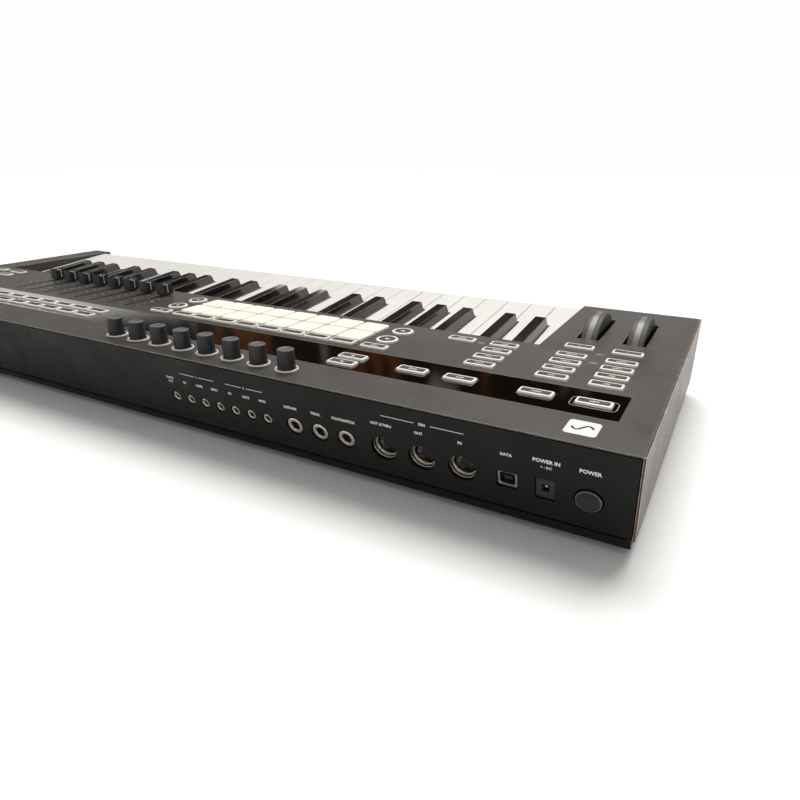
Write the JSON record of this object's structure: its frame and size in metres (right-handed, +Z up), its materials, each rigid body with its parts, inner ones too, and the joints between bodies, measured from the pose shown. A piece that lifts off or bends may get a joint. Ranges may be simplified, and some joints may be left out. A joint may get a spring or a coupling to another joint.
{
  "type": "synthesizer keyboard",
  "caption": "Table-top synthesizer: full-size piano keys under a flat panel of pads, buttons, rotary knobs, faders and two wheels, with sockets along the back.",
  "frame": {"origin": "middle of the footprint, on the surface the feet stand on", "axes": "+X to the player's right along the keyboard, +Y from the player to the back panel, +Z up"},
  "size_m": [0.817, 0.3, 0.0833],
  "materials": {
    "case_top": "fine sprayed texture, matt grey-brown",
    "case_black": "fine spark texture, satin black",
    "end_cheek": "smooth semi-gloss taupe",
    "window": "polished black, see-through when lit",
    "circuit_board": "solder mask",
    "plated_steel": "zinc plated",
    "socket_nickel": "nickel plated",
    "light_guide": "milky, lets light through",
    "foot_rubber": "matt",
    "control_black": "satin soft-touch",
    "wheel_rubber": "matt grey rim on black",
    "pad_silicone": "translucent cream",
    "button_silicone": "translucent white rim with a dark printed top",
    "white_key": "polished ivory white",
    "black_key": "satin black"
  },
  "bodies": {
    "case": {"top_panel": "case_top", "bottom_tray": "case_black", "rear_panel": "case_black", "end_cheek_left": "end_cheek", "end_cheek_right": "end_cheek", "screen_window": "window", "control_board": "circuit_board", "main_board": "circuit_board", "key_frame": "plated_steel", "key_pivot_rod": "plated_steel", "wheel_bracket": "case_black", "wheel_axle": "plated_steel", "knob_ring_guide": "light_guide", "patch_jack_row": "socket_nickel", "pedal_jack_row": "socket_nickel", "din_socket_row": "socket_nickel", "usb_socket": "plated_steel", "dc_inlet": "case_black", "foot_rear_left": "foot_rubber", "foot_rear_right": "foot_rubber", "foot_front_left": "foot_rubber", "foot_front_right": "foot_rubber"},
    "power_button": {"power_button": "control_black"},
    "pitch_wheel": {"pitch_wheel": "wheel_rubber"},
    "mod_wheel": {"mod_wheel": "wheel_rubber"},
    "knob_1": {"knob_1": "control_black"},
    "knob_2": {"knob_2": "control_black"},
    "knob_3": {"knob_3": "control_black"},
    "knob_4": {"knob_4": "control_black"},
    "knob_5": {"knob_5": "control_black"},
    "knob_6": {"knob_6": "control_black"},
    "knob_7": {"knob_7": "control_black"},
    "knob_8": {"knob_8": "control_black"},
    "fader_cap_1": {"fader_cap_1": "control_black"},
    "fader_cap_2": {"fader_cap_2": "control_black"},
    "fader_cap_3": {"fader_cap_3": "control_black"},
    "fader_cap_4": {"fader_cap_4": "control_black"},
    "fader_cap_5": {"fader_cap_5": "control_black"},
    "fader_cap_6": {"fader_cap_6": "control_black"},
    "fader_cap_7": {"fader_cap_7": "control_black"},
    "fader_cap_8": {"fader_cap_8": "control_black"},
    "pad_mat": {"pad_mat": "pad_silicone"},
    "left_button_mat": {"left_button_mat": "button_silicone"},
    "strip_button_mat": {"strip_button_mat": "button_silicone"},
    "pad_button_mat": {"pad_button_mat": "button_silicone"},
    "transport_button_mat": {"transport_button_mat": "button_silicone"},
    "key_c": {"key_c": "white_key"},
    "key_c_sharp": {"key_c_sharp": "black_key"},
    "key_d": {"key_d": "white_key"},
    "key_d_sharp": {"key_d_sharp": "black_key"},
    "key_e": {"key_e": "white_key"},
    "key_f": {"key_f": "white_key"},
    "key_f_sharp": {"key_f_sharp": "black_key"},
    "key_g": {"key_g": "white_key"},
    "key_g_sharp": {"key_g_sharp": "black_key"},
    "key_a": {"key_a": "white_key"},
    "key_a_sharp": {"key_a_sharp": "black_key"},
    "key_b": {"key_b": "white_key"},
    "upper_keys": {"upper_white_keys": "white_key", "upper_sharp_keys": "black_key"}
  },
  "joints": [
    {"name": "power_button_press", "type": "slide", "parent": "case", "child": "power_button", "axis": [0, -0.9721, 0.2345], "range_m": [0, 0.003], "stiffness_N_per_m": 150, "springref_m": -0.004},
    {"name": "pitch_wheel_turn", "type": "hinge", "parent": "case", "child": "pitch_wheel", "pos_m": [-0.3701, -0.074, 0.0395], "axis": [1, 0, 0], "range_deg": [-35, 35], "stiffness_Nm_per_rad": 0.2},
    {"name": "mod_wheel_turn", "type": "hinge", "parent": "case", "child": "mod_wheel", "pos_m": [-0.335, -0.074, 0.0395], "axis": [1, 0, 0], "range_deg": [-35, 35]},
    {"name": "knob_1_turn", "type": "hinge", "parent": "case", "child": "knob_1", "pos_m": [-0.1729, 0.1313, 0.074], "axis": [0, 0, 1], "continuous": true},
    {"name": "knob_2_turn", "type": "hinge", "parent": "case", "child": "knob_2", "pos_m": [-0.14825, 0.1313, 0.074], "axis": [0, 0, 1], "continuous": true},
    {"name": "knob_3_turn", "type": "hinge", "parent": "case", "child": "knob_3", "pos_m": [-0.1236, 0.1313, 0.074], "axis": [0, 0, 1], "continuous": true},
    {"name": "knob_4_turn", "type": "hinge", "parent": "case", "child": "knob_4", "pos_m": [-0.09895, 0.1313, 0.074], "axis": [0, 0, 1], "continuous": true},
    {"name": "knob_5_turn", "type": "hinge", "parent": "case", "child": "knob_5", "pos_m": [-0.0743, 0.1313, 0.074], "axis": [0, 0, 1], "continuous": true},
    {"name": "knob_6_turn", "type": "hinge", "parent": "case", "child": "knob_6", "pos_m": [-0.04965, 0.1313, 0.074], "axis": [0, 0, 1], "continuous": true},
    {"name": "knob_7_turn", "type": "hinge", "parent": "case", "child": "knob_7", "pos_m": [-0.025, 0.1313, 0.074], "axis": [0, 0, 1], "continuous": true},
    {"name": "knob_8_turn", "type": "hinge", "parent": "case", "child": "knob_8", "pos_m": [-0.00035, 0.1313, 0.074], "axis": [0, 0, 1], "continuous": true},
    {"name": "fader_1_slide", "type": "slide", "parent": "case", "child": "fader_cap_1", "axis": [0, 1, 0], "range_m": [-0.003, 0.047]},
    {"name": "fader_2_slide", "type": "slide", "parent": "case", "child": "fader_cap_2", "axis": [0, 1, 0], "range_m": [-0.003, 0.047]},
    {"name": "fader_3_slide", "type": "slide", "parent": "case", "child": "fader_cap_3", "axis": [0, 1, 0], "range_m": [-0.003, 0.047]},
    {"name": "fader_4_slide", "type": "slide", "parent": "case", "child": "fader_cap_4", "axis": [0, 1, 0], "range_m": [-0.003, 0.047]},
    {"name": "fader_5_slide", "type": "slide", "parent": "case", "child": "fader_cap_5", "axis": [0, 1, 0], "range_m": [-0.003, 0.047]},
    {"name": "fader_6_slide", "type": "slide", "parent": "case", "child": "fader_cap_6", "axis": [0, 1, 0], "range_m": [-0.003, 0.047]},
    {"name": "fader_7_slide", "type": "slide", "parent": "case", "child": "fader_cap_7", "axis": [0, 1, 0], "range_m": [-0.003, 0.047]},
    {"name": "fader_8_slide", "type": "slide", "parent": "case", "child": "fader_cap_8", "axis": [0, 1, 0], "range_m": [-0.003, 0.047]},
    {"name": "pad_mat_press", "type": "slide", "parent": "case", "child": "pad_mat", "axis": [0, 0, -1], "range_m": [0, 0.001], "stiffness_N_per_m": 2000, "springref_m": -0.001},
    {"name": "left_button_mat_press", "type": "slide", "parent": "case", "child": "left_button_mat", "axis": [0, 0, -1], "range_m": [0, 0.001], "stiffness_N_per_m": 1000, "springref_m": -0.001},
    {"name": "strip_button_mat_press", "type": "slide", "parent": "case", "child": "strip_button_mat", "axis": [0, 0, -1], "range_m": [0, 0.001], "stiffness_N_per_m": 1000, "springref_m": -0.001},
    {"name": "pad_button_mat_press", "type": "slide", "parent": "case", "child": "pad_button_mat", "axis": [0, 0, -1], "range_m": [0, 0.001], "stiffness_N_per_m": 1000, "springref_m": -0.001},
    {"name": "transport_button_mat_press", "type": "slide", "parent": "case", "child": "transport_button_mat", "axis": [0, 0, -1], "range_m": [0, 0.001], "stiffness_N_per_m": 600, "springref_m": -0.001},
    {"name": "key_c_press", "type": "hinge", "parent": "case", "child": "key_c", "pos_m": [-0.29375, 0.022, 0.042], "axis": [1, 0, 0], "range_deg": [0, 3.4], "stiffness_Nm_per_rad": 1, "springref_deg": -3.44},
    {"name": "key_c_sharp_press", "type": "hinge", "parent": "case", "child": "key_c_sharp", "pos_m": [-0.28417, 0.022, 0.042], "axis": [1, 0, 0], "range_deg": [0, 3.4], "stiffness_Nm_per_rad": 1, "springref_deg": -3.44},
    {"name": "key_d_press", "type": "hinge", "parent": "case", "child": "key_d", "pos_m": [-0.27025, 0.022, 0.042], "axis": [1, 0, 0], "range_deg": [0, 3.4], "stiffness_Nm_per_rad": 1, "springref_deg": -3.44},
    {"name": "key_d_sharp_press", "type": "hinge", "parent": "case", "child": "key_d_sharp", "pos_m": [-0.25633, 0.022, 0.042], "axis": [1, 0, 0], "range_deg": [0, 3.4], "stiffness_Nm_per_rad": 1, "springref_deg": -3.44},
    {"name": "key_e_press", "type": "hinge", "parent": "case", "child": "key_e", "pos_m": [-0.24675, 0.022, 0.042], "axis": [1, 0, 0], "range_deg": [0, 3.4], "stiffness_Nm_per_rad": 1, "springref_deg": -3.44},
    {"name": "key_f_press", "type": "hinge", "parent": "case", "child": "key_f", "pos_m": [-0.22325, 0.022, 0.042], "axis": [1, 0, 0], "range_deg": [0, 3.4], "stiffness_Nm_per_rad": 1, "springref_deg": -3.44},
    {"name": "key_f_sharp_press", "type": "hinge", "parent": "case", "child": "key_f_sharp", "pos_m": [-0.21475, 0.022, 0.042], "axis": [1, 0, 0], "range_deg": [0, 3.4], "stiffness_Nm_per_rad": 1, "springref_deg": -3.44},
    {"name": "key_g_press", "type": "hinge", "parent": "case", "child": "key_g", "pos_m": [-0.19975, 0.022, 0.042], "axis": [1, 0, 0], "range_deg": [0, 3.4], "stiffness_Nm_per_rad": 1, "springref_deg": -3.44},
    {"name": "key_g_sharp_press", "type": "hinge", "parent": "case", "child": "key_g_sharp", "pos_m": [-0.188, 0.022, 0.042], "axis": [1, 0, 0], "range_deg": [0, 3.4], "stiffness_Nm_per_rad": 1, "springref_deg": -3.44},
    {"name": "key_a_press", "type": "hinge", "parent": "case", "child": "key_a", "pos_m": [-0.17625, 0.022, 0.042], "axis": [1, 0, 0], "range_deg": [0, 3.4], "stiffness_Nm_per_rad": 1, "springref_deg": -3.44},
    {"name": "key_a_sharp_press", "type": "hinge", "parent": "case", "child": "key_a_sharp", "pos_m": [-0.16125, 0.022, 0.042], "axis": [1, 0, 0], "range_deg": [0, 3.4], "stiffness_Nm_per_rad": 1, "springref_deg": -3.44},
    {"name": "key_b_press", "type": "hinge", "parent": "case", "child": "key_b", "pos_m": [-0.15275, 0.022, 0.042], "axis": [1, 0, 0], "range_deg": [0, 3.4], "stiffness_Nm_per_rad": 1, "springref_deg": -3.44},
    {"name": "upper_keys_press", "type": "hinge", "parent": "case", "child": "upper_keys", "pos_m": [0.1175, 0.022, 0.042], "axis": [1, 0, 0], "range_deg": [0, 3.4], "stiffness_Nm_per_rad": 40, "springref_deg": -3.44}
  ]
}
